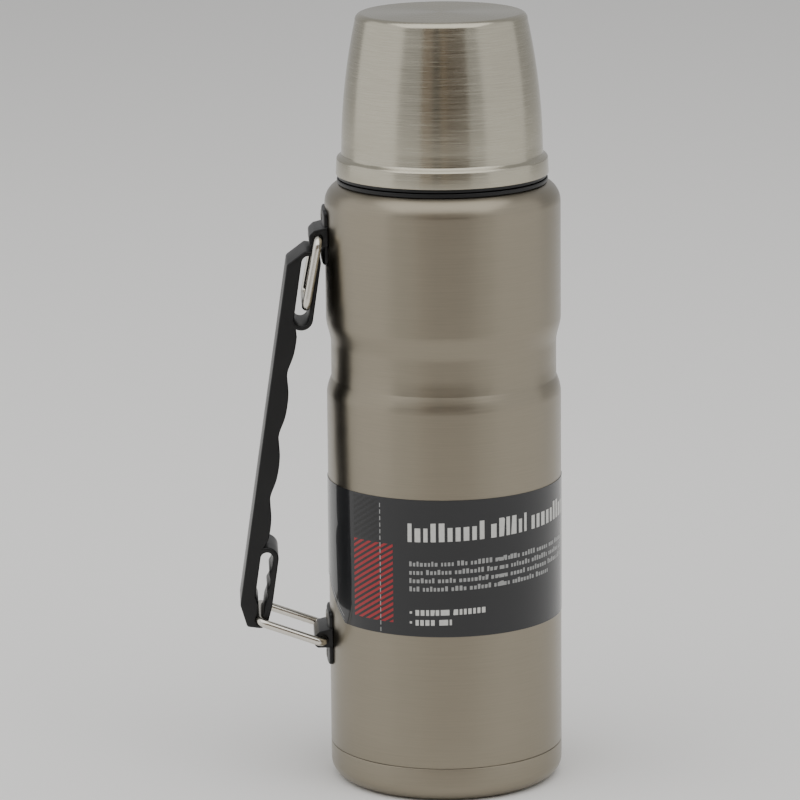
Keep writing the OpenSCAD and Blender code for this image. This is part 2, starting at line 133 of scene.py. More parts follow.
def prism(loops, halfWidth, edge, place, steps=5):
    # outlines carried across a width with rounded edges: each ring of points moves in from the
    # outline along its mitred normal by edge (1 - cos a) while it moves out by edge sin a
    turn = np.radians(np.linspace(90, 0, steps + 1))
    inset = np.concatenate([edge * (1 - np.cos(turn)), edge * (1 - np.cos(turn[::-1]))])
    side = halfWidth - edge + edge * np.sin(turn)
    side = np.concatenate([side, -side[::-1]])
    parts = []
    for outline in loops:
        ahead = np.roll(outline, -1, axis=0) - outline
        ahead /= np.linalg.norm(ahead, axis=1)[:, None]
        normal = np.stack([ahead[:, 1], -ahead[:, 0]], axis=1)
        behind = np.roll(normal, 1, axis=0)
        mitre = (normal + behind) / (1 + np.sum(normal * behind, axis=1))[:, None]
        flat = outline[:, None] - mitre[:, None] * inset[None, :, None]
        points = place(flat[..., 0], np.broadcast_to(side, flat.shape[:2]), flat[..., 1])
        part = gridSurface(points, wrapU=True)
        rows = np.arange(len(outline)) * len(side)
        part["caps"] = [rows, rows + len(side) - 1]
        parts.append(part)
    return parts


# ---- pieces ----

def newPiece(name, parts, body, material, replaced=()):
    # one mesh from its parts; the filled ends of a part stay flat, everything else is smooth
    parts = parts if isinstance(parts, list) else [parts]
    offsets = np.cumsum([0] + [len(part["points"]) for part in parts])
    points = np.concatenate([part["points"] for part in parts]) * mm
    faces = np.concatenate([part["faces"] + start for part, start in zip(parts, offsets)])
    uv = np.concatenate([part["uv"] for part in parts])
    mesh = bpy.data.meshes.new(name)
    mesh.vertices.add(len(points))
    mesh.vertices.foreach_set("co", points.astype(np.float32).ravel())
    mesh.loops.add(faces.size)
    mesh.loops.foreach_set("vertex_index", faces.astype(np.int32).ravel())
    mesh.polygons.add(len(faces))
    mesh.polygons.foreach_set("loop_start", np.arange(0, faces.size, 4, dtype=np.int32))
    mesh.update(calc_edges=True)
    mesh.uv_layers.new(name="around").data.foreach_set("uv", uv.astype(np.float32).ravel())
    work = bmesh.new()
    work.from_mesh(mesh)
    for face in work.faces:
        face.smooth = True
    work.verts.ensure_lookup_table()
    for side in range(2):
        rims = [part["caps"][side] + start for part, start in zip(parts, offsets) if part["caps"]]
        edges = [work.edges.get((work.verts[a], work.verts[b]))
                 for rim in rims for a, b in zip(rim, np.roll(rim, -1))]
        if edges:
            made = bmesh.ops.triangle_fill(work, use_beauty=True, use_dissolve=False, edges=edges)
            for item in made["geom"]:
                if isinstance(item, bmesh.types.BMFace):
                    item.smooth = False
    bmesh.ops.remove_doubles(work, verts=work.verts, dist=1e-7)
    bmesh.ops.recalc_face_normals(work, faces=work.faces)
    work.to_mesh(mesh)
    work.free()
    mesh.set_sharp_from_angle(angle=math.radians(40))
    piece = bpy.data.objects.new(name, mesh)
    bpy.context.collection.objects.link(piece)
    mesh.materials.append(material)
    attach(piece, body)
    if replaced:
        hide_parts(*replaced)


# ---- materials ----

def linear(code):
    # an sRGB hex colour as linear light
    channels = [int(code[i:i + 2], 16) / 255 for i in (1, 3, 5)]
    return tuple(c / 12.92 if c <= 0.04045 else ((c + 0.055) / 1.055) ** 2.4 for c in channels) + (1.0,)


def addNode(material, kind, inputs=None, **settings):
    node = material.node_tree.nodes.new(kind)
    for name, value in settings.items():
        setattr(node, name, value)
    for name, value in (inputs or {}).items():
        if isinstance(value, bpy.types.NodeSocket):
            material.node_tree.links.new(value, node.inputs[name])
        else:
            node.inputs[name].default_value = value
    return node


def newMaterial(name, inputs):
    material = bpy.data.materials.new(name)
    material.use_nodes = True
    shader = material.node_tree.nodes["Principled BSDF"]
    for key, value in inputs.items():
        shader.inputs[key].default_value = value
    return material, shader


def joinNodes(material, source, socket):
    material.node_tree.links.new(source, socket)


def linishedSteel(name, dark, light, roughness, spread, lineGap, lineDepth, coat=0.0, coatRough=0.2):
    # stainless sheet linished on a turning lathe: fine lines run round it, so it throws tall soft
    # streaks of light up and down; grit lines of 0.05 mm are drawn lineGap wide so that they show
    settings = {"Metallic": 1.0, "Roughness": roughness, "Anisotropic": spread,
                "Anisotropic Rotation": 0.25, "Coat Weight": coat, "Coat Roughness": coatRough}
    material, shader = newMaterial(name, settings)
    place = addNode(material, "ShaderNodeTexCoord").outputs["Object"]
    level = addNode(material, "ShaderNodeVectorMath", {0: place, 1: (1, 1, 0)}, operation="MULTIPLY")
    radius = addNode(material, "ShaderNodeVectorMath", {0: level.outputs[0]}, operation="LENGTH")
    heading = addNode(material, "ShaderNodeVectorMath", {0: level.outputs[0]}, operation="NORMALIZE")
    height = addNode(material, "ShaderNodeSeparateXYZ", {0: place})
    run = addNode(material, "ShaderNodeMath", {0: radius.outputs["Value"], 1: height.outputs["Z"]},
                  operation="ADD")
    lines = addNode(material, "ShaderNodeMath", {0: run.outputs[0], 1: 1 / (lineGap * mm)},
                    operation="MULTIPLY")
    lift = addNode(material, "ShaderNodeCombineXYZ", {"Z": lines.outputs[0]})
    grain = addNode(material, "ShaderNodeVectorMath", {0: heading.outputs[0], 1: (2.5, 2.5, 2.5),
                                                       2: lift.outputs[0]}, operation="MULTIPLY_ADD")
    streaks = addNode(material, "ShaderNodeTexNoise", {"Vector": grain.outputs[0], "Scale": 1.0,
                                                       "Detail": 3.0, "Roughness": 0.6})
    cloud = addNode(material, "ShaderNodeTexNoise", {"Vector": place, "Scale": 14.0, "Detail": 1.0})
    both = addNode(material, "ShaderNodeMix", {"Factor": 0.3, "A": streaks.outputs[0],
                                               "B": cloud.outputs[0]})
    tone = addNode(material, "ShaderNodeMapRange", {"Value": both.outputs[0], "From Min": 0.3,
                                                    "From Max": 0.7})
    shade = addNode(material, "ShaderNodeMix", {"Factor": tone.outputs[0], "A": linear(dark),
                                                "B": linear(light)}, data_type="RGBA")
    joinNodes(material, shade.outputs["Result"], shader.inputs["Base Color"])
    rough = addNode(material, "ShaderNodeMapRange", {"Value": streaks.outputs[0], "From Min": 0.3,
                                                     "From Max": 0.7, "To Min": roughness - 0.05,
                                                     "To Max": roughness + 0.05})
    joinNodes(material, rough.outputs[0], shader.inputs["Roughness"])
    bump = addNode(material, "ShaderNodeBump", {"Strength": 0.35, "Distance": lineDepth * mm,
                                                "Height": streaks.outputs[0]})
    joinNodes(material, bump.outputs[0], shader.inputs["Normal"])
    if spread > 0:
        around = addNode(material, "ShaderNodeTangent", direction_type="UV_MAP", uv_map="around")
        joinNodes(material, around.outputs[0], shader.inputs["Tangent"])
    return material


def mouldedPlastic(name, code, roughness, grain=0.35, depth=0.03, lighter=1.25):
    # an injection moulding with a fine spark-eroded texture: a soft sheen broken into small specks
    material, shader = newMaterial(name, {"Roughness": roughness, "Specular IOR Level": 0.35})
    place = addNode(material, "ShaderNodeTexCoord").outputs["Object"]
    specks = addNode(material, "ShaderNodeTexNoise", {"Vector": place, "Scale": 1 / (grain * mm),
                                                      "Detail": 2.0, "Roughness": 0.55})
    wear = addNode(material, "ShaderNodeTexNoise", {"Vector": place, "Scale": 45.0, "Detail": 4.0})
    base = linear(code)
    pale = tuple(min(1.0, c * lighter) for c in base[:3]) + (1.0,)
    shade = addNode(material, "ShaderNodeMix", {"Factor": wear.outputs[0], "A": base, "B": pale},
                    data_type="RGBA")
    joinNodes(material, shade.outputs["Result"], shader.inputs["Base Color"])
    rough = addNode(material, "ShaderNodeMapRange", {"Value": wear.outputs[0], "From Min": 0.3,
                                                     "From Max": 0.7, "To Min": roughness - 0.06,
                                                     "To Max": roughness + 0.06})
    joinNodes(material, rough.outputs[0], shader.inputs["Roughness"])
    bump = addNode(material, "ShaderNodeBump", {"Strength": 0.5, "Distance": depth * mm,
                                                "Height": specks.outputs[0]})
    joinNodes(material, bump.outputs[0], shader.inputs["Normal"])
    return material


def drawnWire(name, code):
    # bright stainless wire, pulled through a die: faint scratches run along it
    material, shader = newMaterial(name, {"Metallic": 1.0, "Roughness": 0.2})
    ways = addNode(material, "ShaderNodeUVMap", uv_map="around").outputs[0]
    stretch = addNode(material, "ShaderNodeMapping", {"Vector": ways, "Scale": (9, 60, 1)})
    scratches = addNode(material, "ShaderNodeTexNoise", {"Vector": stretch.outputs[0], "Scale": 1.0,
                                                         "Detail": 3.0})
    shade = addNode(material, "ShaderNodeMix", {"Factor": scratches.outputs[0], "A": linear(code),
                                                "B": linear("#F1EEE6")}, data_type="RGBA")
    joinNodes(material, shade.outputs["Result"], shader.inputs["Base Color"])
    bump = addNode(material, "ShaderNodeBump", {"Strength": 0.25, "Distance": 0.02 * mm,
                                                "Height": scratches.outputs[0]})
    joinNodes(material, bump.outputs[0], shader.inputs["Normal"])
    return material


def glossFilm(name, code):
    # printed polypropylene film under a clear gloss lacquer: sharp reflections on a dark ground
    material, shader = newMaterial(name, {"Roughness": 0.45, "Specular IOR Level": 0.2,
                                          "Coat Weight": 0.8, "Coat Roughness": 0.05})
    place = addNode(material, "ShaderNodeTexCoord").outputs["Object"]
    ripple = addNode(material, "ShaderNodeTexNoise", {"Vector": place, "Scale": 120.0, "Detail": 2.0})
    base = linear(code)
    shade = addNode(material, "ShaderNodeMix", {"Factor": ripple.outputs[0], "A": base,
                                                "B": tuple(c * 1.12 for c in base[:3]) + (1.0,)},
                    data_type="RGBA")
    joinNodes(material, shade.outputs["Result"], shader.inputs["Base Color"])
    bump = addNode(material, "ShaderNodeBump", {"Strength": 0.12, "Distance": 0.05 * mm,
                                                "Height": ripple.outputs[0]})
    joinNodes(material, bump.outputs[0], shader.inputs["Normal"])
    return material


def printedInk(name, code):
    # screen-printed ink: flat colour with slightly uneven cover
    material, shader = newMaterial(name, {"Roughness": 0.45, "Specular IOR Level": 0.25,
                                          "Coat Weight": 0.6, "Coat Roughness": 0.06})
    place = addNode(material, "ShaderNodeTexCoord").outputs["Object"]
    cover = addNode(material, "ShaderNodeTexNoise", {"Vector": place, "Scale": 900.0, "Detail": 2.0})
    base = linear(code)
    shade = addNode(material, "ShaderNodeMix", {"Factor": cover.outputs[0], "B": base,
                                                "A": tuple(c * 0.8 for c in base[:3]) + (1.0,)},
                    data_type="RGBA")
    joinNodes(material, shade.outputs["Result"], shader.inputs["Base Color"])
    return material


barrelSteel = linishedSteel("linished_steel_grey_coat", "#8B8475", "#958D7D", 0.34, 0.7, 0.25, 0.0012,
                            coat=0.15, coatRough=0.35)
cupSteel = linishedSteel("linished_bright_steel", "#A9A494", "#BAB5A5", 0.24, 0.7, 0.3, 0.003)
vesselSteel = linishedSteel("electropolished_steel", "#A9A69E", "#CFCCC4", 0.2, 0.4, 0.8, 0.006)
plainSteel = linishedSteel("mill_finish_steel", "#8E8C87", "#A7A5A0", 0.34, 0.2, 0.7, 0.01)
sheetSteel = linishedSteel("rolled_sheet_steel", "#8E8C87", "#A7A5A0", 0.34, 0, 0.9, 0.006)
vesselPlain = linishedSteel("electropolished_floor_steel", "#A9A69E", "#CFCCC4", 0.22, 0, 0.9, 0.006)
discSteel = linishedSteel("spun_grey_disc", "#6E6F70", "#929394", 0.28, 0.7, 0.5, 0.012)
foilCopper = linishedSteel("copper_foil", "#A8683C", "#D08A58", 0.22, 0, 1.5, 0.02)
wireSteel = drawnWire("drawn_stainless_wire", "#BDB7AA")
blackPlastic = mouldedPlastic("satin_black_polypropylene", "#0D0D0E", 0.34)
handleNylon = mouldedPlastic("textured_black_nylon", "#0E0E0F", 0.38, grain=0.45, depth=0.03)
linerPlastic = mouldedPlastic("food_grade_black_plastic", "#1A1B1C", 0.3)
stopperPlastic = mouldedPlastic("charcoal_plastic", "#26282A", 0.38)
knobPlastic = mouldedPlastic("knob_charcoal_plastic", "#2B2D2F", 0.42, grain=0.5, depth=0.05)
valvePlastic = mouldedPlastic("grey_acetal", "#3A3D40", 0.33)
whiteSilicone = mouldedPlastic("translucent_silicone", "#D8D4C8", 0.5, grain=0.6, depth=0.01)
redSilicone = mouldedPlastic("red_silicone", "#B53A26", 0.5, grain=0.6, depth=0.01)
insulatingFoam = mouldedPlastic("open_cell_foam", "#E3DAC0", 0.85, grain=0.9, depth=0.3)
fritGlass = mouldedPlastic("sealing_frit", "#4E6A57", 0.12, grain=1.2, depth=0.02)
labelFilm = glossFilm("charcoal_label_film", "#111215")
redInk = printedInk("red_hatch_ink", "#A0141F")
hatchBlack = printedInk("black_hatch_ink", "#0C0D0E")
whiteInk = printedInk("white_print_ink", "#D0D0CC")
paleInk = printedInk("pale_grey_print_ink", "#9C9D9C")
paleFloor = mouldedPlastic("pale_floor_paint", "#F4F3F1", 0.75, grain=3.0, depth=0.02, lighter=1.0)
print("materials made:", len(bpy.data.materials))


# ---- barrel ----

barrel = {
    "radius": 47.5, "wall": 0.6, "seamZ": 14.5, "baseRound": 7.0,
    "waistZ": 160.0, "waistDepth": 1.9, "flareDown": 7.5, "waistTop": 21.0, "flareUp": 11.0,
    "shoulderZ": 247.0, "shoulderRound": 8.5, "neckRadius": 27.2, "neckTop": 267.4,
    "seamRound": 0.45, "ringWidth": 5.0, "recess": 2.5,
}


def barrelLine(inset, fine=1):
    # the lower flare is a quarter cosine that ends in a crease, the upper one a half cosine
    b = barrel
    share = np.linspace(0, 1, 12 * fine + 1)
    lower = np.stack([b["waistDepth"] * (1 - np.cos(share * np.pi / 2)),
                      b["waistZ"] + b["flareDown"] * share], axis=1)
    upper = np.stack([b["waistDepth"] * (1 + np.cos(share * np.pi)) / 2,
                      b["waistZ"] + b["waistTop"] + b["flareUp"] * share], axis=1)
    wall = np.concatenate([lower, upper])
    wall[:, 0] = b["radius"] - inset - wall[:, 0]
    shoulder = arcPoints(b["radius"] - b["shoulderRound"], b["shoulderZ"] - b["shoulderRound"],
                         b["shoulderRound"] - inset, 0, 90, 16 * fine)
    return np.concatenate([wall, shoulder])


def makeBarrel():
    b = barrel
    seam = arcPoints(b["radius"] - b["seamRound"], b["seamZ"] + b["seamRound"], b["seamRound"], 270, 360, 4)
    neck = filleted([(b["neckRadius"] + 4, b["shoulderZ"], 0), (b["neckRadius"], b["shoulderZ"], 0.6),
                     (b["neckRadius"], b["neckTop"], 0), (b["neckRadius"] - b["wall"], b["neckTop"], 0),
                     (b["neckRadius"] - b["wall"], b["shoulderZ"] - b["wall"], 0)], closed=False)
    inside = barrelLine(b["wall"])[::-1]
    foot = np.array([[b["radius"] - b["wall"], b["seamZ"] + 0.2], [b["radius"] - b["wall"], b["seamZ"]]])
    outline = np.concatenate([seam, barrelLine(0, 2), neck, inside, foot])
    newPiece("barrel", turned(refined(outline, 12), 320), "flask", barrelSteel,
             ["outer_shell"])


def makeBaseCap():
    b = barrel
    flatIn, flatOut = b["radius"] - b["baseRound"] - b["ringWidth"], b["radius"] - b["baseRound"]
    under = filleted([(0, b["recess"], 0), (flatIn - 2, b["recess"], 0.8), (flatIn, 0, 0.8),
                      (flatOut, 0, 0)], closed=False)
    side = arcPoints(flatOut, b["baseRound"], b["baseRound"], 270, 360, 20)
    lip = arcPoints(b["radius"] - b["seamRound"], b["seamZ"] - b["seamRound"] - 0.05, b["seamRound"],
                    0, 90, 4)
    inner = arcPoints(flatOut, b["baseRound"], b["baseRound"] - b["wall"], 360, 270, 12)
    inside = np.concatenate([[[b["radius"] - b["wall"], b["seamZ"] - 0.05]], inner,
                             [[flatIn + 0.4, b["wall"]], [flatIn - 1.6, b["recess"] + b["wall"]],
                              [0, b["recess"] + b["wall"]]]])
    outline = np.concatenate([under, side, lip, inside])
    newPiece("base_pan", turned(outline, 320, closed=False), "flask", barrelSteel,
             ["base_cap"])


makeBarrel()
makeBaseCap()
print("barrel and base made")


# ---- vacuum vessel ----

vessel = {"radius": 42.7, "wall": 0.5, "seamZ": 34.0, "shoulderZ": 226.0, "shoulderRound": 10.0,
          "neckRadius": 25.3, "neckFillet": 3.0, "lipZ": 268.0, "lipOut": 27.2, "lipDrop": 0.55}


def vesselLine(inset):
    v = vessel
    shoulder = arcPoints(v["radius"] - v["shoulderRound"], v["shoulderZ"], v["shoulderRound"] - inset,
                         0, 90, 24)
    fillet = arcPoints(v["neckRadius"] + v["wall"] + v["neckFillet"],
                       v["shoulderZ"] + v["shoulderRound"] + v["neckFillet"],
                       v["neckFillet"] + inset, 270, 180, 10)
    return np.concatenate([[[v["radius"] - inset, v["seamZ"]]], shoulder, fillet])


def makeVessel():
    v = vessel
    neckOut = v["neckRadius"] + v["wall"]
    lip = filleted([(neckOut, v["lipZ"] - 3, 0), (neckOut, v["lipZ"] - v["lipDrop"], 0),
                    (v["lipOut"], v["lipZ"] - v["lipDrop"], 0), (v["lipOut"], v["lipZ"], 0.25),
                    (v["neckRadius"], v["lipZ"], 0.5), (v["neckRadius"], v["lipZ"] - 3, 0)], closed=False)
    outline = refined(np.concatenate([vesselLine(0), lip, vesselLine(v["wall"])[::-1]]), 12)
    newPiece("inner_bottle", turned(outline, 240), "flask", vesselSteel, ["inner_vessel"])


# ---- collar and cup ----

collar = {"sleeve": 35.0, "inner": 33.5, "flange": 42.4, "z": 247.05, "skirt": 246.8, "flangeTop": 248.4,
          "top": 262.0, "web": 260.4, "bore": 27.35, "crest": 35.9, "pitch": 4.0}
cup = {
    "rimRadius": 42.8, "rimZ": 250.1, "beadTop": 257.1, "wallZ": 259.8, "wallRadius": 40.4, "taper": 5.9,
    "shoulderZ": 312.0, "topZ": 314.8, "topRound": 3.0, "bend": 1.9, "sheet": 0.5,
    "ringRoot": 37.2, "ringCrest": 36.15, "ringOut": 39.5, "ringBore": 31.0, "ringFlange": 42.0,
    "ringZ": 248.7, "shelfZ": 263.9, "ringTop": 265.4, "linerOut": 1.7, "linerWall": 1.2, "linerDrop": 3.4,
}


def makeCollar():
    c = collar
    outline = filleted([
        (c["inner"], c["z"], 0), (c["flange"] - 1, c["z"], 0), (c["flange"] - 1, c["skirt"], 0),
        (c["flange"], c["skirt"], 0.2), (c["flange"], c["flangeTop"], 0.35),
        (c["sleeve"], c["flangeTop"], 0.25), (c["sleeve"], c["top"], 0.5), (c["bore"], c["top"], 0.3),
        (c["bore"], c["web"], 0), (c["inner"], c["web"], 0.5)])
    outline = refined(np.concatenate([outline, outline[:1]]), 0.35)[:-1]
    ridge = threadRidge(c["sleeve"], c["crest"], c["flangeTop"] + 0.8, c["top"] - 0.8, c["pitch"])
    newPiece("mouth_collar", turned(outline, 288, bulge=ridge), "flask", blackPlastic,
             ["threaded_collar"])


def cupRadius(z):
    # the wall turns in as height to the power 1.9
    c = cup
    share = np.clip((z - c["wallZ"]) / (c["shoulderZ"] - c["wallZ"]), 0, None)
    return c["wallRadius"] - c["taper"] * share ** c["bend"]


def cupLine(start, inset, steps=40):
    c = cup
    z = np.linspace(start, c["shoulderZ"] - 0.4, steps)
    top = arcPoints(cupRadius(c["shoulderZ"]) - 2.9, c["topZ"] - c["topRound"],
                    c["topRound"] - min(inset, 0.6), 14, 90, 12)
    return np.concatenate([np.stack([cupRadius(z) - inset, z], axis=1), top])


def sealRing(inner, outer, low, high, rounding):
    # a flat ring with rounded edges
    return turned(filleted([(inner, low, rounding), (outer, low, rounding), (outer, high, rounding),
                            (inner, high, rounding)]), 192)


def makeCup():
    c = cup
    # rolled rim, a bead that leans in a little, a sloping ledge and a hollow fillet up to the wall
    bead = filleted([
        (c["rimRadius"] - c["sheet"], c["rimZ"] + 2, 0), (c["rimRadius"] - c["sheet"], c["rimZ"], 0.24),
        (c["rimRadius"], c["rimZ"], 0.24), (c["rimRadius"] - 0.35, c["beadTop"] - 0.35, 1.3),
        (c["wallRadius"] + 0.1, c["wallZ"] - 1.7, 1.5), (c["wallRadius"], c["wallZ"] + 2.2, 0)],
        closed=False)
    outside = cupLine(c["wallZ"] + 2.4, 0)
    crown = np.array([[20.0, c["topZ"]], [8.0, c["topZ"]], [0.0, c["topZ"]],
                      [0.0, c["topZ"] - c["sheet"]], [20.0, c["topZ"] - c["sheet"]]])
    inside = cupLine(c["wallZ"], c["sheet"])[::-1]
    outline = np.concatenate([bead[2:], outside, crown, inside, bead[:2]])
    newPiece("cup_steel", turned(outline, 320), "cup", cupSteel, ["cup_shell"])

    out, inner = c["linerOut"], c["linerOut"] + c["linerWall"]
    top = c["topZ"] - c["linerDrop"]
    rows = np.linspace(c["ringTop"] + 0.02, top - 4, 30)
    outer = np.stack([cupRadius(rows) - out, rows], axis=1)
    inward = np.stack([cupRadius(rows) - inner, rows], axis=1)[::-1]
    dome = filleted([(outer[-1, 0], outer[-1, 1], 0), (cupRadius(top) - out - 0.3, top, 3.0), (0, top, 0)],
                    closed=False)
    bowl = filleted([(0, top - c["linerWall"], 0),
                     (cupRadius(top) - inner - 0.5, top - c["linerWall"], 3.5),
                     (inward[0, 0], inward[0, 1] - 0.8, 0)], closed=False)
    outline = np.concatenate([outer, dome[1:], bowl, inward[1:]])
    newPiece("cup_lining", turned(outline, 240), "cup", linerPlastic, ["cup_liner"])

    outline = filleted([
        (c["ringRoot"], c["ringZ"], 0.4), (c["ringFlange"], c["ringZ"], 0.35),
        (c["ringFlange"], c["rimZ"] - 0.02, 0), (c["ringOut"], c["rimZ"] - 0.02, 0),
        (c["ringOut"], c["ringTop"], 0.4), (c["ringBore"], c["ringTop"], 0.4),
        (c["ringBore"], c["shelfZ"], 0.3), (c["ringRoot"], c["shelfZ"], 0)])
    outline = refined(np.concatenate([outline, outline[:1]]), 0.35)[:-1]
    ridge = threadRidge(c["ringRoot"], c["ringCrest"], c["ringZ"] + 2.2, c["shelfZ"] - 1.5, collar["pitch"])
    newPiece("cup_screw_ring", turned(outline, 288, bulge=ridge), "cup", blackPlastic,
             ["cup_thread_ring"])

    newPiece("cup_seal_ring", sealRing(31, 35, 262.1, 263.85, 0.5), "cup_seal", whiteSilicone,
             ["cup_gasket"])


# ---- stopper ----

stopper = {"flange": 30.0, "flangeZ": 269.6, "flangeTop": 273.0, "body": 24.0, "wall": 1.5, "floor": 236.0,
           "base": 232.0, "guide": 8.0, "crest": 25.05, "pitch": 5.0, "seat": 5.0, "groove": 1.2,
           "grooveIn": 23.0, "grooveOut": 25.5, "stem": 2.55}
disc = {"radius": 15.0, "under": 288.25, "rimTop": 289.33, "dish": 0.25, "bevel": 0.3}


def makeStopper():
    s = stopper
    body, wall, guide = s["body"], s["wall"], s["guide"]
    # one solid of revolution: body tube and guide tube joined under a flange that has a knob groove
    outline = filleted([
        (body - wall, s["floor"], 0.3), (body, s["floor"], 0.3), (body, s["flangeZ"], 0.6),
        (s["flange"], s["flangeZ"], 0.5), (s["flange"], s["flangeTop"], 0.9),
        (s["grooveOut"], s["flangeTop"], 0.2), (s["grooveOut"], s["flangeTop"] - s["groove"], 0.2),
        (s["grooveIn"], s["flangeTop"] - s["groove"], 0.2), (s["grooveIn"], s["flangeTop"], 0.2),
        (s["stem"], s["flangeTop"], 0.2), (s["stem"], s["flangeZ"] + 1, 0), (guide, s["flangeZ"] + 1, 0),
        (guide, s["floor"], 0.3), (guide + 1, s["floor"], 0.3), (guide + 1, s["flangeZ"] + 0.5, 0),
        (body - wall, s["flangeZ"] + 0.5, 0)])
    outline = refined(np.concatenate([outline, outline[:1]]), 0.6)[:-1]
    ridge = threadRidge(body, s["crest"], s["floor"] + 8.5, s["flangeZ"] - 7.5, s["pitch"])
    newPiece("stopper_body", turned(outline, 180, bulge=ridge), "stopper",
             stopperPlastic, ["stopper_housing"])
    outline = filleted([(s["seat"], s["base"], 0.5), (body, s["base"], 1.8), (body, s["floor"], 0.2),
                        (s["seat"], s["floor"], 0.3)])
    newPiece("stopper_foot", turned(outline, 240), "stopper", stopperPlastic,
             ["stopper_base_cap"])
    newPiece("stopper_seal_ring", sealRing(25.2, 28.8, 268.05, 269.55, 0.4), "stopper_seal",
             whiteSilicone, ["stopper_gasket"])


def makeKnobDisc():
    # slightly dished: z falls by dish (1 - (r / radius)^2) from rim to middle
    d = disc
    r = np.linspace(d["radius"] - d["bevel"], 0, 20)
    dish = np.stack([r, d["rimTop"] - d["dish"] * (1 - (r / d["radius"]) ** 2)], axis=1)
    rim = [[0, d["under"]], [d["radius"], d["under"]], [d["radius"], d["rimTop"] - 0.23],
           [d["radius"] - 0.1, d["rimTop"] - 0.03]]
    outline = np.concatenate([rim, dish])
    newPiece("knob_disc", turned(outline, 192, closed=False), "knob", discSteel, ["knob_cap"])


makeVessel()
makeCollar()
makeCup()
makeStopper()
makeKnobDisc()
print("vessel, collar, cup and stopper made")


# ---- printed label ----

viewTurn = 3.0   # degrees from the view direction to the barrel's own front
label = {"low": 69.7, "high": 125.9, "inner": 47.52, "outer": 47.72, "seam": 1.0,
         "cutStart": 24.0, "cutSlope": 0.8, "cutDepth": 15.0, "print": 47.75, "ink": 47.725,
         "askew": 0.026, "textLeft": -18.0, "dashLeft": -33.3, "hatchLeft": -50, "hatchPitch": 2.4,
         "hatchSlope": 0.62}


def labelLow(angle):
    # the lower edge rises where the film is cut back round the lower bracket
    l = label
    x, y = l["outer"] * np.sin(angle), l["outer"] * np.cos(angle)
    rise = np.clip((l["cutStart"] - np.abs(y)) * l["cutSlope"] - 1, 0, l["cutDepth"])
    return l["low"] + np.where(x < 0, rise, 0)


def filmPart(angle, low, high, inner, outer):
    # a strip that hugs the barrel: angles from -Y towards +X, a lower and an upper edge
    low, high = np.broadcast_to(low, angle.shape), np.broadcast_to(high, angle.shape)
    radius = np.array([inner, outer, outer, inner])
    height = np.stack([low, low, high, high], axis=1)
    points = np.stack([np.sin(angle)[:, None] * radius, -np.cos(angle)[:, None] * radius, height], axis=-1)
    part = gridSurface(points, wrapV=True)
    part["caps"] = [np.arange(4), (len(angle) - 1) * 4 + np.arange(4)]
    return part


def printed(low, high, start, end):
    # one printed bar between two angles in degrees from the view direction; the print was laid on
    # a little askew, so it climbs to the right
    turn = np.linspace(start, end, max(2, int((end - start) / 1.5) + 2))
    rise = label["askew"] * (turn - label["textLeft"])
    return filmPart(np.radians(turn - viewTurn), low + rise, high + rise, label["ink"], label["print"])


def hatch(low, high, end):
    # stripes that climb to the right and are clipped to a rectangle
    pitch, slope = label["hatchPitch"], label["hatchSlope"]
    a, b = math.radians(label["hatchLeft"] - viewTurn), math.radians(end - viewTurn)
    width = (b - a) * label["print"]
    parts = []
    for step in range(int((high - low + slope * width) / pitch) + 2):
        base = low - slope * width + step * pitch   # the stripe's lower edge at the left side
        first = max(0.0, (low - base - pitch / 2) / slope)
        last = min(width, (high - base) / slope)
        if last - first < 0.4:
            continue
        run = np.unique(np.concatenate([np.linspace(first + 0.02, last - 0.02, 12),
                                        np.clip([(low - base) / slope, (high - base - pitch / 2) / slope],
                                                first + 0.02, last - 0.02)]))
        lower = np.clip(base + slope * run, low, high)
        upper = np.clip(base + pitch / 2 + slope * run, low, high)
        parts.append(filmPart(a + run / label["print"], lower, upper, label["ink"], label["print"]))
    return parts


def greekedLine(low, high, start, end, letter, gap, word, lift, seed):
    # neutral blocks in place of lettering: words of several letters with a wider gap between
    chance = np.random.default_rng(seed)
    degree = math.radians(1) * label["print"]
    parts, at, count = [], start, 0
    wordLength = int(chance.integers(*word))
    while at < end:
        width = letter * chance.uniform(0.75, 1.2) / degree
        tall = chance.random() < lift
        top = high if tall else low + (high - low) * 0.74
        parts.append(printed(low, top, at, min(end, at + width)))
        count += 1
        at += width + gap / degree
        if count >= wordLength:
            at += letter * 0.9 / degree
            count, wordLength = 0, int(chance.integers(*word))
    return parts


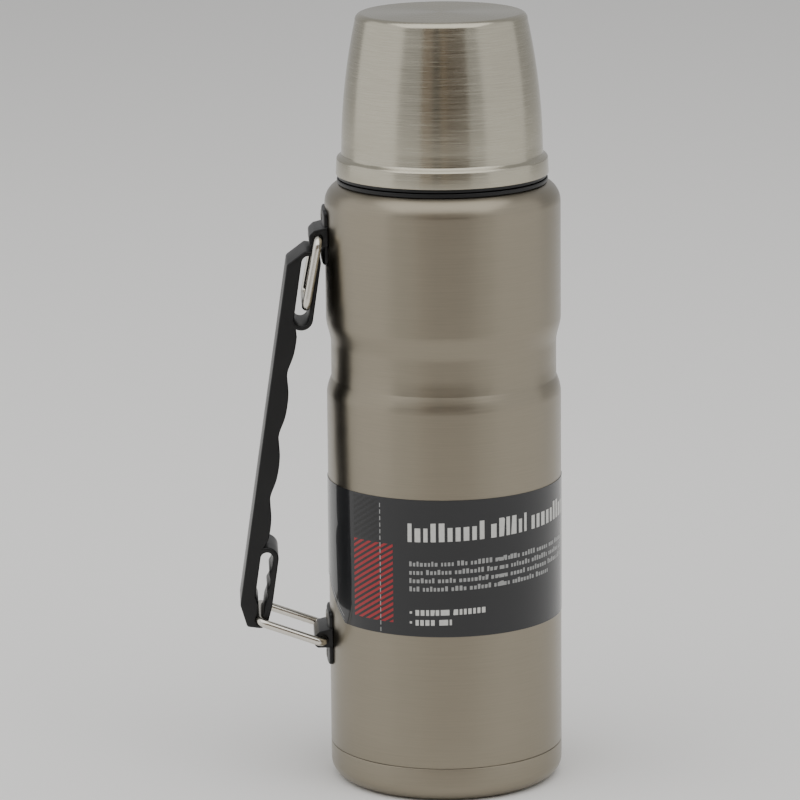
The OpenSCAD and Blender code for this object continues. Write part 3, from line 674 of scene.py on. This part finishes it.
def makeLabel():
    l = label
    half = l["seam"] / l["outer"]
    # the cut-back starts and reaches its full depth at these angles from the handle's side
    corners = [math.asin((l["cutStart"] - 1 / l["cutSlope"]) / l["outer"]),
               math.asin((l["cutStart"] - (l["cutDepth"] + 1) / l["cutSlope"]) / l["outer"])]
    edge = math.radians(-90)
    angle = np.linspace(edge + half, edge + 2 * math.pi - half, 361)
    marks = [edge + c for c in corners] + [edge + 2 * math.pi - c for c in corners]
    angle = np.unique(np.concatenate([angle, marks]))
    newPiece("label_film", filmPart(angle, labelLow(angle), l["high"], l["inner"], l["outer"]), "flask",
             labelFilm, ["label_wrap"])
    newPiece("label_red_hatch", hatch(74.8, 107.0, -26), "flask", redInk)
    newPiece("label_grey_hatch", hatch(107.8, 125.0, -34.4), "flask", hatchBlack)
    dashes = [printed(z, z + 1.7, l["dashLeft"], l["dashLeft"] + 0.5) for z in np.arange(70.8, 124.2, 2.7)]
    newPiece("label_dashed_line", dashes, "flask", paleInk)
    headline = []
    for start, end, lift, seed in ((-18.2, 19.2, 0.3, 3), (22.7, 43.2, 0.4, 5), (46.7, 82.5, 0.3, 8)):
        headline += greekedLine(108.6, 116.2, start, end, 2.1, 1.25, (20, 21), lift, seed)
    newPiece("label_headline_blocks", headline, "flask", whiteInk)
    lines = []
    for row, end in enumerate((80.0, 80.0, 78.0, 60.0)):
        low = 98.6 - 3.43 * row
        lines += greekedLine(low, low + 2.0, -17.5, end, 1.0, 0.55, (3, 9), 0.3, 20 + row)
    newPiece("label_small_blocks", lines, "flask", paleInk)
    bullets = []
    for low, end, seed in ((78.3, 19.5, 41), (74.2, 3.0, 42)):
        bullets.append(printed(low + 0.8, low + 1.7, -17.5, -16.4))
        bullets += greekedLine(low, low + 2.3, -14.6, end, 1.35, 0.65, (4, 9), 1.0, seed)
    newPiece("label_bullet_blocks", bullets, "flask", whiteInk)
    # two pale lines that follow the cut corner
    cut = np.linspace(edge + corners[1] * 1.3, edge + corners[0] * 0.97, 20)
    trims = [filmPart(cut, labelLow(cut) + up, labelLow(cut) + up + 0.35, l["ink"], l["print"])
             for up in (0.5, 2.2)]
    newPiece("label_cut_lines", trims, "flask", paleInk)


# ---- handle and bails ----

linkage = {
    "pivot": 50.5, "upperZ": 225.5, "lowerZ": 59.3, "wire": 1.7, "length": 27.5, "span": 30.4,
    "crossBend": 3.5, "pivotBend": 3.0, "endY": 5.8, "upperHang": 11.0, "lowerLift": 20.0,
    "tilt": 8.514, "halfWidth": 12.0, "edge": 0.7,
}


def turnedAboutY(points, degrees, x, z):
    # positive degrees carry +Z towards +X
    c, s = math.cos(math.radians(degrees)), math.sin(math.radians(degrees))
    return np.stack([x + points[..., 0] * c + points[..., 2] * s, points[..., 1],
                     z - points[..., 0] * s + points[..., 2] * c], axis=-1)


def makeBail(name, body, node, degrees, z):
    k = linkage
    half = k["span"] / 2
    flat = filleted([(0, k["endY"], 0), (0, half, k["pivotBend"]), (-k["length"], half, k["crossBend"]),
                     (-k["length"], -half, k["crossBend"]), (0, -half, k["pivotBend"]), (0, -k["endY"], 0)],
                    steps=14, closed=False)
    flat = refined(flat, 1.0)
    # rounded ends: the radius grows as a quarter circle over the first 0.5
    gap = np.minimum(np.linalg.norm(flat - flat[0], axis=1), np.linalg.norm(flat - flat[-1], axis=1))
    ends = np.array([0.0, 0.08, 0.2, 0.4])
    first = flat[0] + (flat[1] - flat[0]) / np.linalg.norm(flat[1] - flat[0]) * ends[:, None]
    last = flat[-1] + (flat[-2] - flat[-1]) / np.linalg.norm(flat[-2] - flat[-1]) * ends[::-1, None]
    flat = np.concatenate([first, flat[gap > 0.5], last])
    gap = np.minimum(np.linalg.norm(flat - flat[0], axis=1), np.linalg.norm(flat - flat[-1], axis=1))
    share = np.clip(gap / 0.5, 0, 1)
    radius = k["wire"] - 0.5 * (1 - np.sqrt(1 - (1 - share) ** 2))
    path = np.concatenate([flat, np.zeros((len(flat), 1))], axis=1)
    wire = tube(path, radius, (0, 0, 1), 28)
    wire["points"] = turnedAboutY(wire["points"], degrees, -k["pivot"], z)
    wire["caps"] = [np.arange(28), (len(path) - 1) * 28 + np.arange(28)]
    newPiece(name, wire, body, wireSteel, [node])


handle = {
    "face": 8.7, "top": 153.7, "seatEnd": 3.6, "chamfer": 6.5, "slotRadius": 2.95, "slotTop": 148.9,
    "slotLow": 125.95, "loopRadius": 4.8, "lowMiddle": 0.5, "lowRadius": 2.6, "lowTop": 25.7,
    "gripTop": 118.5, "gripLow": 33.4, "gripMiddle": 1.6, "gripWave": 0.9, "gripPeriod": 26,
    "gripPeak": 103, "gripLean": 25, "seatRadius": 1.75, "neckWidth": 1.3,
}


def handleLoops():
    # outwards from the middle of the slots, then up along the handle from the lower seat
    h = handle
    face, top, seatEnd, neck = h["face"], h["top"], h["seatEnd"], h["neckWidth"]
    slotR, slotTop, slotLow, loopR = h["slotRadius"], h["slotTop"], h["slotLow"], h["loopRadius"]
    lowN, lowR, lowTop = h["lowMiddle"], h["lowRadius"], h["lowTop"]
    t = np.arange(h["gripTop"], h["gripLow"], -1.0)
    wave = 2 * np.pi * (t - h["gripPeak"]) / h["gripPeriod"]
    # finger grooves: a wave that is steeper on its lower sides
    lean = math.radians(h["gripLean"]) * np.sin(wave)
    grip = np.stack([h["gripMiddle"] + h["gripWave"] * np.cos(wave + lean), t], axis=1)
    back = filleted([(0.0, -seatEnd, 0), (face - 4, -seatEnd, 1.2), (face, 5, 2.5),
                     (face, top - h["chamfer"], 2.0), (face - h["chamfer"], top, 1.5), (0, top, 0)],
                    closed=False)
    outer = np.concatenate([
        arcPoints(0, 0, seatEnd, 190, 270, 10)[:-1], refined(back, 4),
        arcPoints(0, slotTop, loopR, 90, 180, 14)[1:],
        arcPoints(0, slotLow, loopR, 180, 290, 16),
        grip, arcPoints(lowN, lowTop, loopR, 68, 180, 16), [[lowN - loopR, 6.0]]])
    slot = np.concatenate([arcPoints(0, slotTop, slotR, 180, 0, 24),
                           arcPoints(0, slotLow, slotR, 360, 180, 24)])
    # the lower slot's inner wall has low bumps; below it a narrow neck leads to the seat
    b = np.arange(10.0, lowTop - 2, 0.5)
    bumps = np.stack([lowN - lowR + 0.8 * np.cos(np.pi * (b - 12.5) / 7) ** 4, b], axis=1)
    seat = arcPoints(0, 0, h["seatRadius"], 48, -228, 36)
    low = np.concatenate([[[-neck, 1.6], [-neck, 6.0]], bumps, arcPoints(lowN, lowTop, lowR, 180, 0, 20),
                          [[lowN + lowR, 9.5], [neck, 6.0], [neck, 1.6]], seat])
    return outer, slot, low


def makeHandle():
    k = linkage
    lift = math.radians(k["lowerLift"])
    x = -(k["pivot"] + k["length"] * math.cos(lift))
    z = k["lowerZ"] + k["length"] * math.sin(lift)

    def place(n, y, t):
        return turnedAboutY(np.stack([-n, y, t], axis=-1), k["tilt"], x, z)
    newPiece("carrying_handle", prism(list(handleLoops()), k["halfWidth"], k["edge"], place), "handle",
             handleNylon, ["handle_bar"])


bracket = {
    "inner": 47.55, "outer": 48.85, "halfWidth": 9.5, "halfHeight": 11.25, "corner": 2.5,
    "reach": 54.1, "root": 46.45, "knuckleHigh": 3.4, "knuckleHalf": 10.5, "knuckleEdge": 0.5,
    "rivetRadius": 1.2, "headRadius": 2.2, "headTop": 49.26, "headCrown": 0.24, "rivetHalfPitch": 8,
}


def makeBracket(name, node, z0):
    k, b = linkage, bracket
    inner, outer = b["inner"], b["outer"]
    halfY, halfZ, corner = b["halfWidth"], b["halfHeight"], b["corner"]
    # plate: a rounded rectangle wrapped on the barrel, with an eased outer edge
    rect = filleted([(-halfY, -halfZ, corner), (halfY, -halfZ, corner), (halfY, halfZ, corner),
                     (-halfY, halfZ, corner)], steps=8)
    rect = refined(np.concatenate([rect, rect[:1]]), 1.5)[:-1]
    spread = np.array([1.0, 1.0, 0.985, 0.955])
    depth = np.array([inner, outer - 0.5, outer - 0.15, outer])
    ways = rect[:, None, :] * spread[None, :, None]
    across = np.arcsin(ways[..., 0] / outer)
    rim = np.stack([-depth * np.cos(across), depth * np.sin(across), z0 + ways[..., 1]], axis=-1)
    shell = gridSurface(rim, wrapU=True)
    # front and back: rings that shrink to the plate's middle and stay on the barrel's curve
    covers = []
    for radius, scale in ((inner, 1.0), (outer, 0.955)):
        shrink = np.linspace(1, 0, 10) * scale
        inward = rect[:, None, :] * shrink[None, :, None]
        turn = np.arcsin(inward[..., 0] / outer)
        covers.append(gridSurface(np.stack([-radius * np.cos(turn), radius * np.sin(turn),
                                            z0 + inward[..., 1]], axis=-1), wrapU=True))
    # knuckle: a hooked block across the plate with a bore for the bail's two ends
    reach, high, root = b["reach"], b["knuckleHigh"], b["root"]
    block = filleted([(root, -high, 0), (reach - 1.2, -high, 1.2), (reach, -high + 1.2, 0.8),
                      (reach, high - 2, 1.6), (reach - 2, high, 1.6), (root, high + 1.4, 0)], steps=6)
    bore = arcPoints(k["pivot"], 0, k["wire"] + 0.05, 360, 0, 32)[:-1]

    def place(r, y, z):
        return np.stack([-r, y, z + z0], axis=-1)
    knuckle = prism([block, bore], b["knuckleHalf"], b["knuckleEdge"], place)
    newPiece(name, [shell] + covers + knuckle, "flask", blackPlastic, [node])
    makeRivets(name + "_rivets", node + "_rivets", z0)


def makeRivets(name, node, z0):
    # a shank in the barrel's side and a low domed head: its height falls with the radius squared
    b = bracket
    shank, head, seat = b["rivetRadius"], b["headRadius"], b["outer"] + 0.02
    heads = []
    for side in (-1, 1):
        cap = filleted([(0, 47.7, 0), (shank, 47.7, 0), (shank, seat, 0), (head, seat, 0),
                        (head, 49.0, 0.06)], closed=False)
        r = np.linspace(head - 0.02, 0, 12)
        dome = np.stack([r, b["headTop"] - b["headCrown"] * (r / head) ** 2], axis=1)
        rivet = turned(np.concatenate([cap, dome]), 48, closed=False)
        p = rivet["points"]
        rivet["points"] = np.stack([-p[:, 2], p[:, 1], z0 + side * b["rivetHalfPitch"] + p[:, 0]], axis=1)
        heads.append(rivet)
    newPiece(name, heads, "flask", plainSteel, [node])


makeLabel()
print("label made")
makeBail("bail_upper", "upper_bail", "upper_bail", linkage["upperHang"] - 90, linkage["upperZ"])
makeBail("bail_lower", "lower_bail", "lower_bail", linkage["lowerLift"], linkage["lowerZ"])
makeHandle()
makeBracket("bracket_upper", "upper_bracket", linkage["upperZ"])
makeBracket("bracket_lower", "lower_bracket", linkage["lowerZ"])
print("handle, bails and brackets made")


# ---- finishes on the CAD nodes that stay ----

def dress(node, material):
    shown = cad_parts[node]
    for place in shown.material_slots:
        place.link = "OBJECT"
        place.material = material


for node, material in {
        "vacuum_base_plate": sheetSteel, "getter_capsule": sheetSteel, "upper_weld_plate": sheetSteel,
        "lower_weld_plate": sheetSteel, "inner_vessel_base": vesselPlain, "seal_plug": fritGlass,
        "radiation_foil": foilCopper, "stopper_foam": insulatingFoam, "valve_stem": valvePlastic,
        "valve_seal": redSilicone, "pour_knob": knobPlastic}.items():
    dress(node, material)
print("CAD nodes dressed")


# ---- floor, light and camera ----

studio = {
    "distance": 1770.3, "height": 551.5, "pitch": 12.579, "yaw": 0.5782, "roll": -0.5623, "lens": 201.0,
    "world": 0.5, "cardAway": 1950.0, "cardTall": 1500.0, "floorHalf": 4.0,
    # each card from one angle in degrees to another, and its colour
    "cards": [(-24, -11, "#8F8071"), (-11, -1, "#4A443D"), (-1, 5.4, "#85735C"), (5.4, 14.5, "#625446"),
              (14.5, 31, "#6A6057")],
    # each softbox: azimuth, distance away, height, width, height of its face, watts, point aimed at
    "softboxes": {"softbox_left": (-86, 1600, 800, 2400, 1700, 8.0, 150),
                  "softbox_right": (80, 1600, 800, 2100, 1700, 5.0, 150),
                  "softbox_top": (0, 700, 2100, 3800, 2800, 46.0, 100)},
}


def makeFloor():
    half = studio["floorHalf"]
    step = np.linspace(-half, half, 9)
    x, y = np.meshgrid(step, step, indexing="ij")
    mesh = bpy.data.meshes.new("studio_floor")
    corners = np.stack([x, y, np.zeros_like(x)], axis=-1).reshape(-1, 3)
    i, j = np.meshgrid(np.arange(8), np.arange(8), indexing="ij")
    first = (i * 9 + j).ravel()
    faces = np.stack([first, first + 9, first + 10, first + 1], axis=1)
    mesh.from_pydata(corners.tolist(), [], faces.tolist())
    floor = bpy.data.objects.new("studio_floor", mesh)
    bpy.context.collection.objects.link(floor)
    mesh.materials.append(paleFloor)


def addSoftbox(name, azimuth, away, height, width, tall, power, aim):
    # azimuth is measured from the camera's side; the box faces the point aim above the floor
    turn = math.radians(azimuth) - math.radians(viewTurn)
    spot = np.array([away * math.sin(turn), -away * math.cos(turn), height]) * mm
    lamp = bpy.data.lights.new(name, "AREA")
    lamp.shape, lamp.size, lamp.size_y, lamp.energy = "RECTANGLE", width * mm, tall * mm, power
    box = bpy.data.objects.new(name, lamp)
    bpy.context.collection.objects.link(box)
    back = spot - np.array([0, 0, aim * mm])
    back /= np.linalg.norm(back)
    right = np.cross([0, 0, 1.0], back)
    right /= np.linalg.norm(right)
    up = np.cross(back, right)
    box.visible_camera = False
    box.matrix_world = Matrix([[right[n], up[n], back[n], spot[n]] for n in range(3)] + [[0, 0, 0, 1]])


def makeCamera():
    s = studio
    pitch, yaw, roll = (math.radians(s[key]) for key in ("pitch", "yaw", "roll"))
    forward = np.array([-math.sin(yaw) * math.cos(pitch), math.cos(yaw) * math.cos(pitch), -math.sin(pitch)])
    right = np.array([math.cos(yaw), math.sin(yaw), 0.0])
    up = np.cross(right, forward)
    right, up = (math.cos(roll) * right + math.sin(roll) * up, -math.sin(roll) * right + math.cos(roll) * up)
    spot = np.array([0, -s["distance"], s["height"]]) * mm
    columns = [right, up, -forward, spot]
    camera = bpy.data.objects.new("camera", bpy.data.cameras.new("camera"))
    camera.data.lens, camera.data.sensor_width = s["lens"], 36.0
    camera.data.clip_start, camera.data.clip_end = 0.05, 50.0
    bpy.context.collection.objects.link(camera)
    upright = Matrix([[column[n] for column in columns] for n in range(3)] + [[0, 0, 0, 1]])
    camera.matrix_world = Matrix.Rotation(-math.radians(viewTurn), 4, "Z") @ upright
    bpy.context.scene.camera = camera


def makeWorld():
    world = bpy.data.worlds.new("studio")
    world.use_nodes = True
    world.node_tree.nodes["Background"].inputs["Color"].default_value = (1, 1, 1, 1)
    world.node_tree.nodes["Background"].inputs["Strength"].default_value = studio["world"]
    bpy.context.scene.world = world


def makeCards():
    # dark cards behind the camera: steel shows them as the soft vertical bands down its middle
    away, tall = studio["cardAway"] * mm, studio["cardTall"] * mm
    for number, (start, end, code) in enumerate(studio["cards"]):
        low, high = (away * math.tan(math.radians(turn)) for turn in (start, end))
        mesh = bpy.data.meshes.new("studio_card_%d" % number)
        mesh.from_pydata([(low, -away, 0.01), (high, -away, 0.01), (high, -away, tall), (low, -away, tall)],
                         [], [(0, 3, 2, 1)])
        card = bpy.data.objects.new("studio_card_%d" % number, mesh)
        bpy.context.collection.objects.link(card)
        card.matrix_world = Matrix.Rotation(-math.radians(viewTurn), 4, "Z")
        card.visible_camera = False
        mesh.materials.append(newMaterial("matte_card_%d" % number,
                                          {"Base Color": linear(code), "Roughness": 0.95})[0])


makeFloor()
makeWorld()
makeCards()
for name, numbers in studio["softboxes"].items():
    addSoftbox(name, *numbers)
makeCamera()
print("studio made")
